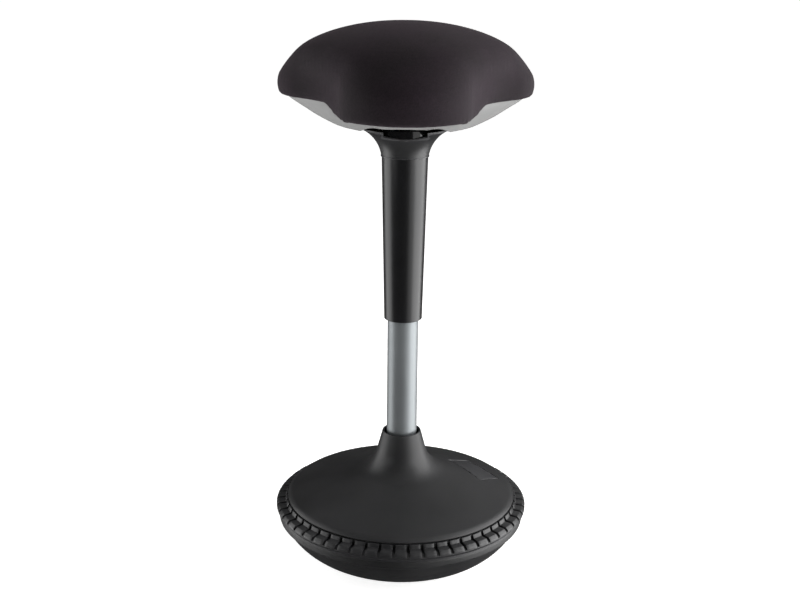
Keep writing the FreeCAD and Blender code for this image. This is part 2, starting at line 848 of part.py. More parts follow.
def pan_screws():
    screws = []
    for place in pan_screw_places:
        x, y = pan_screw_xy(place)
        head = pan_head(3.8, 2.4, place[2], x, y, down=True)
        screws.append(rod(2.0, place[2], board_z + 6.0, x, y).fuse(head))
    return group(screws)


nodes["seat_pan"] = seat_pan()
nodes["pan_screws"] = pan_screws()


os.makedirs("parts", exist_ok=True)
for name, shape in nodes.items():
    shape.exportStep("parts/" + name + ".step")
    print(name, len(shape.Solids), "solid(s)", round(shape.Volume / 1000.0, 2), "cm3", shape.isValid())
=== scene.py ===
from math import atan2, cos, degrees, hypot, pi, radians, remainder, sin, sqrt

import bmesh
import bpy
from mathutils import Matrix, Vector


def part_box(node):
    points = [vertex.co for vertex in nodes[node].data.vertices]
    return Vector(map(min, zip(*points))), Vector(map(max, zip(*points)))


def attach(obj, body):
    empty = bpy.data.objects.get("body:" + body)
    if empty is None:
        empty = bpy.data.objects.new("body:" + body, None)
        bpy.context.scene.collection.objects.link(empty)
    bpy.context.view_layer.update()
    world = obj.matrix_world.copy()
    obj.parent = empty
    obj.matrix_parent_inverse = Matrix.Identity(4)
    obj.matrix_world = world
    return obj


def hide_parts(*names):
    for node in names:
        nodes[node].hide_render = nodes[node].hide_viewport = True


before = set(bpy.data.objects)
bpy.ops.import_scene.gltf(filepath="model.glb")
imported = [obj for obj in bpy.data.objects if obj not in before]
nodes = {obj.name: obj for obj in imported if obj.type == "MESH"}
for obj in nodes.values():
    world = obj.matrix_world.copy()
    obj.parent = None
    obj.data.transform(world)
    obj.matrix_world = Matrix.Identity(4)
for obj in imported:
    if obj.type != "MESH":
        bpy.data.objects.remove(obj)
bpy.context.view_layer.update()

# Perch stool on a rocking foot, in assembly order. Outlines are in millimetres, meshes in metres.
MM = 0.001


# The studio: a pale floor under a wide light from above and behind, with a tall soft box on each side whose
# reflections draw the bright bands down the column. The camera stands 1.63 m in front of the stool.

def linear(hex_colour):
    """Linear red, green, blue and alpha of an sRGB hex colour."""
    channels = [int(hex_colour[i:i + 2], 16) / 255 for i in (1, 3, 5)]
    return [c / 12.92 if c <= 0.04045 else ((c + 0.055) / 1.055) ** 2.4 for c in channels] + [1.0]


def add(tree, kind, inputs, **settings):
    """New shader node. An input takes a value, or another node's output."""
    node = tree.nodes.new("ShaderNode" + kind)
    for name, value in settings.items():
        setattr(node, name, value)
    for name, value in inputs.items():
        if isinstance(value, bpy.types.NodeSocket):
            tree.links.new(value, node.inputs[name])
        else:
            node.inputs[name].default_value = value
    return node


def put(name, data, place=(0, 0, 0)):
    """New object in the scene at this place."""
    thing = bpy.data.objects.new(name, data)
    thing.location = place
    bpy.context.scene.collection.objects.link(thing)
    return thing


eye = Vector((0.0, -1.6271, 0.8628))
pitch = radians(16.43)
lean = radians(0.71)
camera = put("camera", bpy.data.cameras.new("camera"))
camera.data.lens = 55.54
camera.data.shift_x = -0.0040
camera.matrix_world = (Matrix.Translation(eye) @ Matrix.Rotation(pi / 2 - pitch, 4, "X")
                       @ Matrix.Rotation(lean, 4, "Z"))
bpy.context.scene.camera = camera

floor_half = 60.0
sheet_mesh = bmesh.new()
bmesh.ops.create_grid(sheet_mesh, x_segments=1, y_segments=1, size=floor_half)
floor_data = bpy.data.meshes.new("floor")
sheet_mesh.to_mesh(floor_data)
sheet_mesh.free()
floor = put("floor", floor_data)
floor.visible_glossy = False
floor.visible_shadow = False
pale = bpy.data.materials.new("pale floor paint")
pale.use_nodes = True
pale.node_tree.nodes["Principled BSDF"].inputs["Base Color"].default_value = linear("#f4f4f2")
pale.node_tree.nodes["Principled BSDF"].inputs["Roughness"].default_value = 0.9
pale.node_tree.nodes["Principled BSDF"].inputs["Specular IOR Level"].default_value = 0.0
pale.node_tree.nodes["Principled BSDF"].inputs["Emission Color"].default_value = linear("#ffffff")
pale.node_tree.nodes["Principled BSDF"].inputs["Emission Strength"].default_value = 0.8
floor_data.materials.append(pale)

sky = bpy.data.worlds.new("studio")
sky.use_nodes = True
sky.node_tree.nodes["Background"].inputs["Color"].default_value = linear("#ffffff")
sky.node_tree.nodes["Background"].inputs["Strength"].default_value = 0.04
bpy.context.scene.world = sky
bpy.context.scene.view_settings.view_transform = "Standard"


def soft_box(name, azimuth, elevation, size, glow):
    """Light 2.2 m from the middle of the column, facing it. Angles are in degrees, from the camera's side
    towards +X and up. The size is width and height."""
    aim = Vector((0, 0, 0.3))
    turn, climb = radians(azimuth), radians(elevation)
    away = Vector((sin(turn) * cos(climb), -cos(turn) * cos(climb), sin(climb)))
    light = bpy.data.lights.new(name, "AREA")
    light.shape = "RECTANGLE"
    light.size, light.size_y = size
    light.energy = glow * pi * size[0] * size[1]
    put(name, light, aim + away * 2.2).rotation_euler = away.to_track_quat("Z", "Y").to_euler()


soft_box("right_box", 88, 0, (2.9, 3.5), glow=4.3)
soft_box("right_fill", 41, 0, (1.1, 3.5), glow=1.2)
soft_box("left_box", -98, 0, (1.9, 3.5), glow=2.6)
soft_box("right_front", 52, 16, (0.8, 0.6), glow=2.2)
soft_box("left_front", -54, 16, (0.8, 0.6), glow=2.2)
soft_box("right_top", 92, 45, (1.1, 0.8), glow=3.0)
overhead = bpy.data.lights.new("overhead", "SUN")
overhead.energy = 0.85
overhead.angle = radians(115)
overhead_way = Vector((0.52, 0.25, 0.82))
put("overhead", overhead, (0, 0, 3)).rotation_euler = overhead_way.to_track_quat("Z", "Y").to_euler()


# Rubber foot: a thick moulded bowl with a flat patch underneath. It is matt black natural rubber, pressed in
# a polished mould, with a plain band round its top where the steel plate sits on it.

def arc(start, slope, end, steps=10):
    """Points of the arc that leaves start at this slope, in degrees, and comes to end."""
    span = Vector(end) - Vector(start)
    half_turn = remainder(atan2(span.y, span.x) - radians(slope), 2 * pi)
    points = []
    for i in range(steps + 1):
        share = i / steps
        if abs(half_turn) < 1e-4:
            points.append(tuple(Vector(start) + span * share))
            continue
        chord = sin(half_turn * share) / sin(half_turn)
        turned = Matrix.Rotation(half_turn * (share - 1), 2) @ span
        points.append(tuple(Vector(start) + turned * chord))
    return points


def arc_end_slope(start, slope, end):
    return 2 * degrees(atan2(end[1] - start[1], end[0] - start[0])) - slope


def lathe(outline, steps=192):
    """Mesh turned about the column's axis. A point is (radius, height) or (radius, height, rounding)."""
    bm = bmesh.new()
    corners = [bm.verts.new((point[0] * MM, 0, point[1] * MM)) for point in outline]
    for here, there in zip(corners, corners[1:] + corners[:1]):
        bm.edges.new((here, there))
    for corner, point in zip(corners, outline):
        if len(point) > 2:
            bmesh.ops.bevel(bm, geom=[corner], offset=point[2] * MM, offset_type="OFFSET", segments=4,
                            profile=0.5, affect="VERTICES", material=-1)
    bmesh.ops.spin(bm, geom=bm.verts[:] + bm.edges[:], cent=(0, 0, 0), axis=(0, 0, 1), angle=2 * pi,
                   steps=steps, use_merge=True)
    bmesh.ops.remove_doubles(bm, verts=bm.verts, dist=1e-6)
    bmesh.ops.recalc_face_normals(bm, faces=bm.faces)
    return bm


def finished(name, bm, finish, crease=35):
    """Object from a mesh, shaded smooth except across edges sharper than the crease, in degrees."""
    for face in bm.faces:
        face.smooth = True
    for edge in bm.edges:
        edge.smooth = len(edge.link_faces) == 2 and edge.calc_face_angle() < radians(crease)
    data = bpy.data.meshes.new(name)
    bm.to_mesh(data)
    bm.free()
    data.materials.append(finish)
    return put(name, data)


# Size of the scuffs in millimetres, and how sharp an edge is where rubbing starts and where it is complete.
scuff_size = 9.0
rubbed_from, rubbed_to = 0.53, 0.62


def moulded(name, dark, light, roughness, grain, depth, patch=60.0, ior=1.5, metallic=0.0, spread=0.06,
            worn=None):
    """Surface with a fine grain, soft patches of colour and gloss, and sharp edges rubbed to the worn colour.
    Grain, depth and patch are in mm."""
    finish = bpy.data.materials.new(name)
    finish.use_nodes = True
    tree = finish.node_tree
    shader = tree.nodes["Principled BSDF"]
    shader.inputs["IOR"].default_value = ior
    shader.inputs["Metallic"].default_value = metallic
    place = add(tree, "TexCoord", {})
    spot = place.outputs["Object"]
    cloud = add(tree, "TexNoise", {"Vector": spot, "Scale": 1 / (patch * MM), "Detail": 3.0})
    tint = add(tree, "ValToRGB", {"Fac": cloud.outputs["Fac"]})
    tint.color_ramp.elements[0].position = 0.3
    tint.color_ramp.elements[0].color = linear(dark)
    tint.color_ramp.elements[1].position = 0.7
    tint.color_ramp.elements[1].color = linear(light)
    speck = add(tree, "TexNoise", {"Vector": spot, "Scale": 1 / (grain * MM), "Detail": 2.0})
    scuff = add(tree, "TexNoise", {"Vector": spot, "Scale": 1 / (scuff_size * MM), "Detail": 5.0})
    ridge = add(tree, "MapRange", {"Value": add(tree, "NewGeometry", {}).outputs["Pointiness"],
                                   "From Min": rubbed_from, "From Max": rubbed_to})
    rub = add(tree, "Math", {0: ridge.outputs["Result"], 1: scuff.outputs["Fac"]}, operation="MULTIPLY")
    skin = add(tree, "Mix", {0: rub.outputs["Value"], 6: tint.outputs["Color"], 7: linear(worn or light)},
               data_type="RGBA")
    tree.links.new(skin.outputs[2], shader.inputs["Base Color"])
    gloss = add(tree, "MapRange", {"Value": cloud.outputs["Fac"], "From Min": 0.3, "From Max": 0.7,
                                   "To Min": roughness - spread, "To Max": roughness + spread})
    tree.links.new(gloss.outputs["Result"], shader.inputs["Roughness"])
    bump = add(tree, "Bump", {"Height": speck.outputs["Fac"], "Strength": 1.0, "Distance": depth * MM})
    tree.links.new(bump.outputs["Normal"], shader.inputs["Normal"])
    return finish


# Natural rubber: deep charcoal, soft broad highlights and a faint bloom in patches.
foot_rubber = moulded("moulded natural rubber", "#121213", "#1a1a1b", 0.52, grain=1.2, depth=0.03,
                      worn="#3c3c3d")

foot_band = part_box("rubber_foot")[1].x / MM
foot_rim_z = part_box("rubber_foot")[1].z / MM
foot_flat = 45.0
foot_wall = 6.0
foot_dome = (129.5, 21.9)
foot_shoulder = (169.5, 64.0)
foot_slope = arc_end_slope((foot_flat, 0.0), 0.0, foot_dome)
inner_dome = (foot_dome[0] - foot_wall * sin(radians(foot_slope)),
              foot_dome[1] + foot_wall * cos(radians(foot_slope)))
inner_flank = (foot_shoulder[0] - 8.0, foot_shoulder[1] - 2.0)
foot_outline = [(0.0, 0.0)]
foot_outline += arc((foot_flat, 0.0), 0.0, foot_dome, 16)
foot_outline += arc(foot_dome, foot_slope, foot_shoulder, 12)[1:-1]
foot_outline += [(*foot_shoulder, 1.2), (172.4, 64.9, 0.8), (173.8, 66.4, 0.8)]
foot_outline += [(foot_band, foot_rim_z - 1.4, 0.8), (foot_band - 0.9, foot_rim_z)]
foot_outline += [(152.0, foot_rim_z), (152.0, inner_flank[1] + 5.0)]
foot_outline += arc(inner_flank, foot_slope + 202.0, inner_dome, 8)
foot_outline += arc(inner_dome, foot_slope + 180.0, (foot_flat, foot_wall), 10)[1:]
foot_outline += [(0.0, foot_wall)]
rocking_bowl = finished("rocking_bowl", lathe(foot_outline, 224), foot_rubber)
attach(rocking_bowl, "base")
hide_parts("rubber_foot")


# Tread ring: satin black rubber pressed round the cover's edge. A short upstand stands under the cover's lip,
# and narrow radial slots part the ring into blunt lugs whose outer ends are chamfered.

lug_count = 56
slot_width = 4.2
first_slot = 3.6
ring_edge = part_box("tread_ring")[1].x / MM
ring_top = 90.0
ring_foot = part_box("tread_ring")[0].z / MM
upstand_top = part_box("tread_ring")[1].z / MM
lug_outline = [
    (161.4, 86.0),
    (161.4, upstand_top),
    (163.6, upstand_top),
    (165.4, ring_top + 0.6),
    (174.4, ring_top),
    (ring_edge, ring_top - 3.6),
    (ring_edge, 83.2),
    (176.0, 82.0),
    (164.0, 86.0),
]
hoop_outline = [
    (158.0, 85.0),
    (163.0, 85.0),
    (163.0, ring_foot),
    (175.6, ring_foot),
    (ring_edge - 0.8, ring_foot + 2.3, 0.5),
    (ring_edge, ring_foot + 3.5, 0.4),
    (ring_edge, ring_foot + 4.6, 0.5),
    (171.5, 87.0, 1.0),
    (161.4, 87.4, 0.5),
    (161.4, upstand_top - 0.6, 0.4),
    (158.0, upstand_top - 0.6, 0.4),
]


def one_lug():
    """Wedge of the ring between two slots, with every edge rounded."""
    bm = bmesh.new()
    half_pitch = pi / lug_count
    face = bm.faces.new([bm.verts.new((r * MM, 0, z * MM)) for r, z in lug_outline])
    bmesh.ops.rotate(bm, verts=bm.verts, cent=(0, 0, 0), matrix=Matrix.Rotation(-half_pitch, 3, "Z"))
    bmesh.ops.spin(bm, geom=[face] + face.edges[:], cent=(0, 0, 0), axis=(0, 0, 1), angle=2 * half_pitch,
                   steps=3)
    for side in (-1, 1):
        wall = Vector((-sin(half_pitch), side * cos(half_pitch), 0))
        cut = bmesh.ops.bisect_plane(bm, geom=bm.verts[:] + bm.edges[:] + bm.faces[:],
                                     plane_co=wall * (-slot_width / 2 * MM), plane_no=wall, clear_outer=True)
        bmesh.ops.edgeloop_fill(bm, edges=[e for e in cut["geom_cut"] if isinstance(e, bmesh.types.BMEdge)])
    bmesh.ops.remove_doubles(bm, verts=bm.verts, dist=1e-6)
    bmesh.ops.recalc_face_normals(bm, faces=bm.faces)
    rims = [e for e in bm.edges if len(e.link_faces) == 2 and e.calc_face_angle() > radians(20)]
    bmesh.ops.bevel(bm, geom=rims, offset=0.45 * MM, offset_type="OFFSET", segments=2, profile=0.5,
                    affect="EDGES", clamp_overlap=True, material=-1)
    return bm


# Satin rubber: a tighter, shinier skin than the foot's.
ring_rubber = moulded("satin moulded rubber", "#18181a", "#212122", 0.40, grain=0.8, depth=0.02,
                      worn="#3e3e3f")
tread = lathe(hoop_outline, 224)
lug_data = bpy.data.meshes.new("lug")
lug = one_lug()
lug.to_mesh(lug_data)
lug.free()
for i in range(lug_count):
    before = len(tread.verts)
    tread.from_mesh(lug_data)
    tread.verts.ensure_lookup_table()
    bmesh.ops.rotate(tread, verts=tread.verts[before:], cent=(0, 0, 0),
                     matrix=Matrix.Rotation(radians(first_slot) + 2 * pi * (i + 0.5) / lug_count, 3, "Z"))
tread_moulding = finished("tread_moulding", tread, ring_rubber)
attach(tread_moulding, "base")
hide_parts("tread_ring")


# Domed cover: injection-moulded black polypropylene with a fine spark grain. It flares up into a neck round
# the column, rolls over at its lip, and carries a shallow bare panel at the back.

lip = (161.7, 97.4)
dome_outer = (154.0, 103.2)
dome_inner = (66.0, 132.0)
neck_low = (34.2, 165.2)
neck_top = (26.9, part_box("base_cover")[1].z / MM)
cover_wall = 2.6
skirt = 155.0
neck_slope = degrees(atan2(neck_low[1] - neck_top[1], neck_low[0] - neck_top[0]))
dome_slope = arc_end_slope(neck_low, neck_slope, dome_inner)
lip_slope = arc_end_slope(dome_inner, dome_slope, dome_outer)
cover_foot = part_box("base_cover")[0].z / MM
cover_outline = [(neck_top[0] - 1.3, neck_top[1], 0.5), (neck_top[0], neck_top[1], 0.9)]
cover_outline += arc(neck_low, neck_slope, dome_inner, 20)
cover_outline += arc(dome_inner, dome_slope, dome_outer, 14)[1:]
cover_outline += arc(dome_outer, lip_slope, lip, 10)[1:-1]
cover_outline += [(*lip, 0.6), (lip[0] - 0.9, lip[1] - 1.8, 0.5), (157.4, lip[1] - 1.8), (skirt, 94.2)]
cover_outline += [(skirt, cover_foot), (skirt - 2.0, cover_foot), (skirt - 2.0, dome_outer[1] - 2.4)]
cover_outline += arc((dome_inner[0] - 1.0, dome_inner[1] - 2.4), dome_slope + 180.0,
                     (neck_low[0] - cover_wall, neck_low[1] - 1.0), 16)
cover_outline += [(neck_top[0] - cover_wall, neck_top[1] - 1.0)]
cover = lathe(cover_outline, 256)

panel_centre = Vector((106.0, 34.0, 0.0)) * MM
panel_half = (32.0 * MM, 21.0 * MM)
panel_turn = radians(-46.0)
panel_depth = 1.0 * MM
panel_field_rise = 0.7 * MM
panel_step = 0.7 * MM
sliver = 0.1 * MM
panel_axes = (Vector((cos(panel_turn), sin(panel_turn), 0)), Vector((-sin(panel_turn), cos(panel_turn), 0)))


def on_panel(face, margin=0.0):
    """True where an outer face of the dome lies on the panel, or this near to it."""
    away = face.calc_center_median() - panel_centre
    near = all(abs(away.dot(axis)) < half + margin for axis, half in zip(panel_axes, panel_half))
    return near and face.normal.z > 0.5


def cut_faces(bm, faces, point, normal):
    """Cuts only these faces along a plane."""
    edges = {edge for face in faces for edge in face.edges}
    verts = {vert for face in faces for vert in face.verts}
    bmesh.ops.bisect_plane(bm, geom=[*faces, *edges, *verts], plane_co=point, plane_no=normal)


for axis, half in zip(panel_axes, panel_half):
    for side in (-1, 1):
        near_panel = [face for face in cover.faces if on_panel(face, 12 * MM)]
        cut_faces(cover, near_panel, panel_centre + axis * side * half, axis)
bmesh.ops.remove_doubles(cover, verts=cover.verts, dist=sliver)
panel_faces = [face for face in cover.faces if on_panel(face)]
for rise in (-panel_depth, 0.0, panel_field_rise):
    bmesh.ops.inset_region(cover, faces=panel_faces, thickness=panel_step, use_boundary=True)
    panel_verts = list({vert for face in panel_faces for vert in face.verts})
    bmesh.ops.translate(cover, verts=panel_verts, vec=(0, 0, rise))
# The panel's faces take the second material, whose lighter colour is a painted sheen.
for face in panel_faces:
    face.material_index = 1

# Spark-grained polypropylene: black with a dull sheen, gone a little grey along its edges.
cover_plastic = moulded("spark-grained polypropylene", "#222223", "#272728", 0.42, grain=0.7, depth=0.008,
                        ior=1.4, worn="#3a3a3b")
# The panel's field: the same polypropylene from a polished part of the mould, smoother, with its colour
# painted a little lighter than the cover's as a painted sheen.
panel_plastic_painted_sheen = moulded("smooth panel polypropylene", "#2b2b2d", "#303032", 0.34, grain=1.2, depth=0.002)
domed_shell = finished("domed_shell", cover, cover_plastic, crease=25)
domed_shell.data.materials.append(panel_plastic_painted_sheen)
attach(domed_shell, "base")
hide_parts("base_cover")


# Column tube: 42 mm steel tube in a satin silver lacquer, drawn straight. It stands in the welded socket and
# holds the long acetal bushing that guides the gas cylinder.

tube_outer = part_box("column_tube")[1].x / MM
tube_wall = 2.0
tube_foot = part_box("column_tube")[0].z / MM
tube_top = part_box("column_tube")[1].z / MM
tube_outline = [(tube_outer - tube_wall, tube_foot, 0.4), (tube_outer, tube_foot, 0.4),
                (tube_outer, tube_top, 0.4), (tube_outer - tube_wall, tube_top, 0.4)]
# Silver lacquer: fine metal flake in a satin clear coat.
silver_lacquer = moulded("satin silver lacquer", "#767a7c", "#7e8284", 0.42, grain=0.5, depth=0.003,
                         patch=90.0, metallic=0.6, spread=0.03, worn="#b4b8ba")
silver_tube = finished("silver_tube", lathe(tube_outline, 128), silver_lacquer)
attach(silver_tube, "base")
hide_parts("column_tube")


# Tapered sleeve: a black tube that hides the gas cylinder and slides with the seat. It is satin ABS, drawn a
# little narrower towards its rounded foot.

sleeve_foot = (26.0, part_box("tapered_sleeve")[0].z / MM)
sleeve_top = (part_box("tapered_sleeve")[1].x / MM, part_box("tapered_sleeve")[1].z / MM)
sleeve_wall = 2.2
sleeve_outline = [(sleeve_foot[0] - sleeve_wall, sleeve_foot[1], 0.5), (*sleeve_foot, 1.1),
                  (*sleeve_top, 0.5), (sleeve_top[0] - sleeve_wall, sleeve_top[1])]
# Satin ABS: deep black with a sharper reflection than the grained mouldings.
sleeve_plastic = moulded("satin ABS", "#0d0d0e", "#101012", 0.31, grain=0.6, depth=0.001, spread=0.02,
                         worn="#2c2c2e")
sleeve = finished("sleeve_tube", lathe(sleeve_outline, 160), sleeve_plastic)
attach(sleeve, "seat")
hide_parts("tapered_sleeve")


# Collar: a flared moulding between the sleeve and the seat, in the cover's plastic. The window in its front
# lets a finger reach the release trigger, and three bosses screw it to the bracket.

collar_low = (sleeve_top[0] + 0.6, sleeve_top[1])
collar_top = (58.0, 619.0)
collar_slope = 82.0
collar_wall = 2.1
window_half = 29.0
window_sill = 610.0
sill_rise = 4.0


def flare_radius(height):
    """Radius of the collar's outer face at this height, in millimetres."""
    half_turn = atan2(collar_top[1] - collar_low[1], collar_top[0] - collar_low[0]) - radians(collar_slope)
    bend = hypot(collar_top[0] - collar_low[0], collar_top[1] - collar_low[1]) / 2 / sin(-half_turn)
    rise = (height - collar_low[1]) / bend + cos(radians(collar_slope))
    return collar_low[0] + bend * (sin(radians(collar_slope)) - sqrt(1 - rise ** 2))


flare = bmesh.new()
flare_steps = 28
profile = [collar_low[1] + (collar_top[1] - collar_low[1]) * i / flare_steps for i in range(flare_steps + 1)]
rail = [flare.verts.new((flare_radius(z) * MM, 0, z * MM)) for z in profile]
for here, there in zip(rail, rail[1:]):
    flare.edges.new((here, there))
bmesh.ops.spin(flare, geom=flare.verts[:] + flare.edges[:], cent=(0, 0, 0), axis=(0, 0, 1), angle=2 * pi,
               steps=160, use_merge=True)
bmesh.ops.remove_doubles(flare, verts=flare.verts, dist=1e-6)


def face_outwards(bm):
    """Turns the faces of an open skin round the column away from the column's axis."""
    bmesh.ops.recalc_face_normals(bm, faces=bm.faces)
    if sum(face.normal.xy.dot(face.calc_center_median().xy) for face in bm.faces) < 0:
        bmesh.ops.reverse_faces(bm, faces=bm.faces)


def in_window(element):
    """True for what lies in front, inside the window's width and above its sill."""
    centre = element.calc_center_median()
    return centre.y < 0 and abs(centre.x) < window_half * MM and centre.z > window_sill * MM


window_planes = [((-window_half, 0, 0), (1, 0, 0)), ((window_half, 0, 0), (1, 0, 0)),
                 ((0, 0, window_sill), (0, 0, 1))]
for point, normal in window_planes:
    front = [face for face in flare.faces if face.calc_center_median().y < 0]
    cut_faces(flare, front, Vector(point) * MM, normal)
bmesh.ops.delete(flare, geom=[f for f in flare.faces if in_window(f)], context="FACES")
bmesh.ops.remove_doubles(flare, verts=flare.verts, dist=1e-5)
for vert in flare.verts:
    on_sill = abs(vert.co.z - window_sill * MM) < 1e-6 and vert.co.y < 0
    if on_sill and abs(vert.co.x) <= window_half * MM + 1e-6:
        height = window_sill + sill_rise * (vert.co.x / MM / window_half) ** 2
        scale = flare_radius(height) / flare_radius(window_sill)
        vert.co = (vert.co.x * scale, vert.co.y * scale, height * MM)
face_outwards(flare)
# Collar plastic: the same black polypropylene as the cover, rubbed paler along its edges.
collar_plastic = moulded("spark-grained collar plastic", "#1d1d1e", "#222223", 0.40, grain=0.7, depth=0.02,
                         worn="#4a4a4c")
flared_collar = finished("flared_collar", flare, collar_plastic)
wall = flared_collar.modifiers.new("wall", "SOLIDIFY")
wall.thickness = collar_wall * MM
wall.offset = -1
wall.use_even_offset = True
edge = flared_collar.modifiers.new("edge", "BEVEL")
edge.width = 0.6 * MM
edge.segments = 2
edge.limit_method = "ANGLE"
edge.angle_limit = radians(50)
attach(flared_collar, "seat")
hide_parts("collar")

# A thin polished bead closes the joint between the collar's foot and the sleeve.
bead_foot = collar_low[1] - 0.1
bead_inside = sleeve_top[0] + 0.1
bead_height = 1.9
bead_outline = [(bead_inside, bead_foot, 0.2), (collar_low[0] + 0.7, bead_foot, 0.5),
                (collar_low[0] + 0.9, bead_foot + bead_height - 0.3, 0.6),
                (bead_inside, bead_foot + bead_height, 0.2)]
bead_plastic = moulded("polished parting bead", "#2a2a2b", "#303032", 0.22, grain=0.7, depth=0.004,
                       worn="#5a5a5c")
foot_bead = finished("collar_foot_bead", lathe(bead_outline, 160), bead_plastic)
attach(foot_bead, "seat")


# Seat pan: a grey moulded bowl under the cushion, screwed up into the seat board. It has the cushion's
# three-lobed plan at its rim and draws in to a round hole over the collar.

lobe_reach = 189.0
lobe_radius = 84.0
hollow_reach = 122.5
hollow_radius = 218.0


def plan_radius(azimuth):
    """Millimetres from the axis to the seat's edge. The azimuth is in degrees from the front."""
    lobe_centre = lobe_reach - lobe_radius
    hollow_centre = hollow_reach + hollow_radius
    turn = radians(abs((azimuth + 60.0) % 120.0 - 60.0))
    hollow_x = hollow_centre * 0.5 - lobe_centre
    hollow_y = hollow_centre * sin(radians(60.0))
    reach = hypot(hollow_x, hollow_y)
    joint = atan2(lobe_radius * hollow_y / reach, lobe_centre + lobe_radius * hollow_x / reach)
    if turn < joint:
        return lobe_centre * cos(turn) + sqrt(lobe_radius ** 2 - (lobe_centre * sin(turn)) ** 2)
    away = radians(60.0) - turn
    return hollow_centre * cos(away) - sqrt(hollow_radius ** 2 - (hollow_centre * sin(away)) ** 2)


def smooth(share):
    """Eases from 0 to 1."""
    share = min(max(share, 0.0), 1.0)
    return share * share * (3 - 2 * share)


def azimuth_of(co):
    """Degrees from the front, towards +X."""
    return degrees(atan2(co.x, -co.y))


def first_level(bm, steps, radius_at, height_at):
    """Circle of vertices laid on the outline that the two functions give for each azimuth."""
    loop = bmesh.ops.create_circle(bm, segments=steps, radius=1.0)["verts"]
    for vert in loop:
        place_on_level(vert, radius_at, height_at)
    return bm.edges[:]


def place_on_level(vert, radius_at, height_at):
    azimuth = azimuth_of(vert.co)
    reach = radius_at(azimuth) * MM
    vert.co = (reach * sin(radians(azimuth)), -reach * cos(radians(azimuth)), height_at(azimuth) * MM)


def next_level(bm, rim, radius_at, height_at):
    """Draws the open rim out to the next outline, and returns the new rim."""
    drawn = bmesh.ops.extrude_edge_only(bm, edges=rim)["geom"]
    for vert in drawn:
        if isinstance(vert, bmesh.types.BMVert):
            place_on_level(vert, radius_at, height_at)
    return [edge for edge in drawn if isinstance(edge, bmesh.types.BMEdge) and len(edge.link_faces) == 1]


pan_wall = 2.4
pan_hole = 59.0
pan_levels = [
    (615.0, 0.390, 0.190),
    (618.5, 0.500, 0.215),
    (624.0, 0.585, 0.260),
    (633.0, 0.690, 0.490),
    (643.0, 0.785, 0.770),
    (652.0, 0.872, 0.900),
    (656.0, 0.905, 0.910),
]


def pan_share(height):
    """Rear and front radius of the pan at this height, as shares of the plan, smoothed between the levels."""
    index = 0
    while index < len(pan_levels) - 2 and height > pan_levels[index + 1][0]:
        index += 1
    low, high = pan_levels[index], pan_levels[index + 1]
    before = pan_levels[max(index - 1, 0)]
    after = pan_levels[min(index + 2, len(pan_levels) - 1)]
    span = high[0] - low[0]
    share = (height - low[0]) / span
    result = []
    for k in (1, 2):
        leave = (high[k] - before[k]) / (high[0] - before[0]) * span
        arrive = (after[k] - low[k]) / (after[0] - low[0]) * span
        from_low = 2 * share ** 3 - 3 * share ** 2 + 1
        to_high = 3 * share ** 2 - 2 * share ** 3
        result.append(low[k] * from_low + high[k] * to_high
                      + leave * (share ** 3 - 2 * share ** 2 + share) + arrive * (share ** 3 - share ** 2))
    return result


def pan_radius(azimuth, height):
    rear, front = pan_share(height)
    share = ((1 + cos(radians(azimuth))) / 2) ** 5
    return plan_radius(azimuth) * (rear + (front - rear) * share)


def pan_height_at_hole(azimuth):
    """Height at which the pan's face meets the round hole."""
    low, high = pan_levels[0][0], pan_levels[-1][0]
    for _ in range(24):
        middle = (low + high) / 2
        if pan_radius(azimuth, middle) < pan_hole:
            low = middle
        else:
            high = middle
    return high


def pan_rim_height(azimuth):
    """The rim rises to meet the cushion's hem, which is lowest at the nose."""
    return pan_levels[-1][0] + 4.0 * smooth((abs(azimuth) - 40.0) / 25.0)


def applied(thing):
    """Gives the object the mesh that its modifiers make, and clears them."""
    bpy.context.view_layer.update()
    made = bpy.data.meshes.new_from_object(thing.evaluated_get(bpy.context.evaluated_depsgraph_get()))
    thing.modifiers.clear()
    thing.data = made


pan_steps = 18
pan_mesh = bmesh.new()
rim = first_level(pan_mesh, 180, lambda a: max(pan_hole, pan_radius(a, pan_height_at_hole(a))),
                  pan_height_at_hole)
for step in range(1, pan_steps + 1):
    def height_at(azimuth, share=step / pan_steps):
        start = pan_height_at_hole(azimuth)
        return start + (pan_rim_height(azimuth) - start) * share
    rim = next_level(pan_mesh, rim, lambda a: pan_radius(a, height_at(a)), height_at)
face_outwards(pan_mesh)
# Grey polypropylene: mid grey with a soft gloss.
pan_plastic = moulded("grey moulded polypropylene", "#808080", "#8a8a8a", 0.38, grain=0.8, depth=0.02,
                      worn="#b0b0b0")

